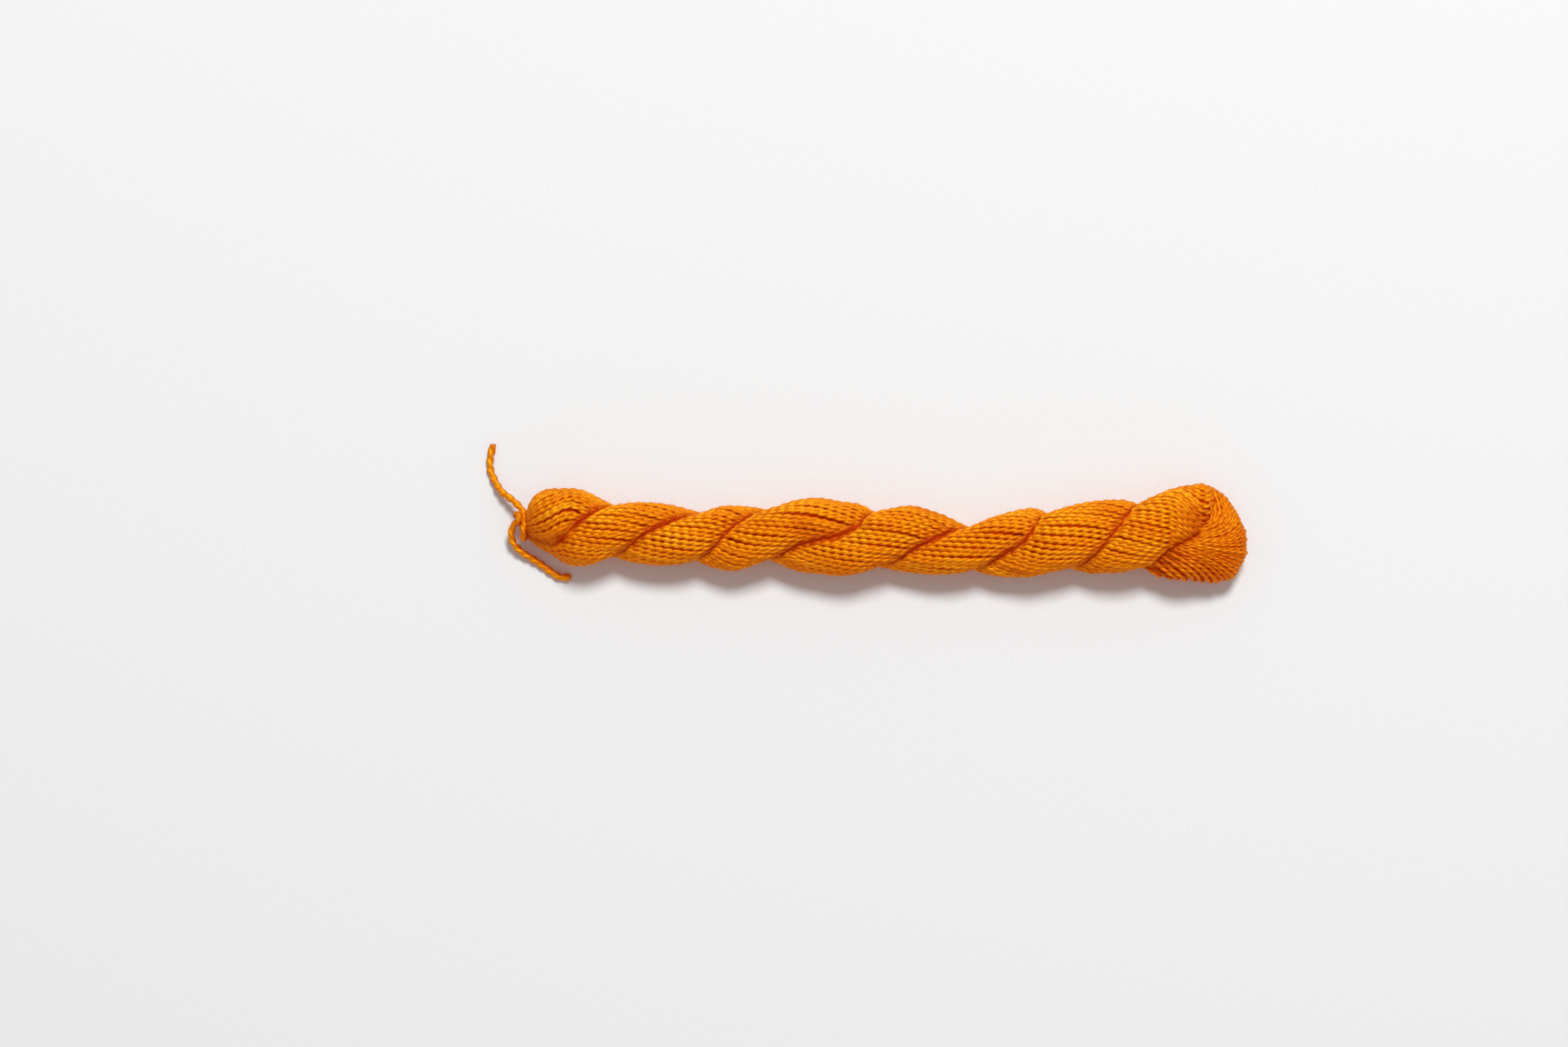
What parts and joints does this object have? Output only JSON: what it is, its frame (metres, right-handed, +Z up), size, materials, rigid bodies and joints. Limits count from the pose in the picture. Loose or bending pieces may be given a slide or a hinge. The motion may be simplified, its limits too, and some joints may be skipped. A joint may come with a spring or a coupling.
{
  "type": "twisted skein of silk embroidery thread",
  "caption": "Hank of plied silk thread, its folded loop laid up as a twisted rope with a round fold at one end and a knotted tie at the other.",
  "frame": {"origin": "middle of the hank's box, on the surface that it lies on", "axes": "+X along the hank from the tied end to the round fold, +Z up from the surface"},
  "size_m": [0.2213, 0.0403, 0.0185],
  "materials": {
    "hank_silk": "soft sheen",
    "tie_silk": "soft sheen"
  },
  "bodies": {
    "root": {"hank": "hank_silk", "tie_knot": "tie_silk", "tie_end_upper": "tie_silk", "tie_end_lower": "tie_silk"}
  },
  "joints": []
}
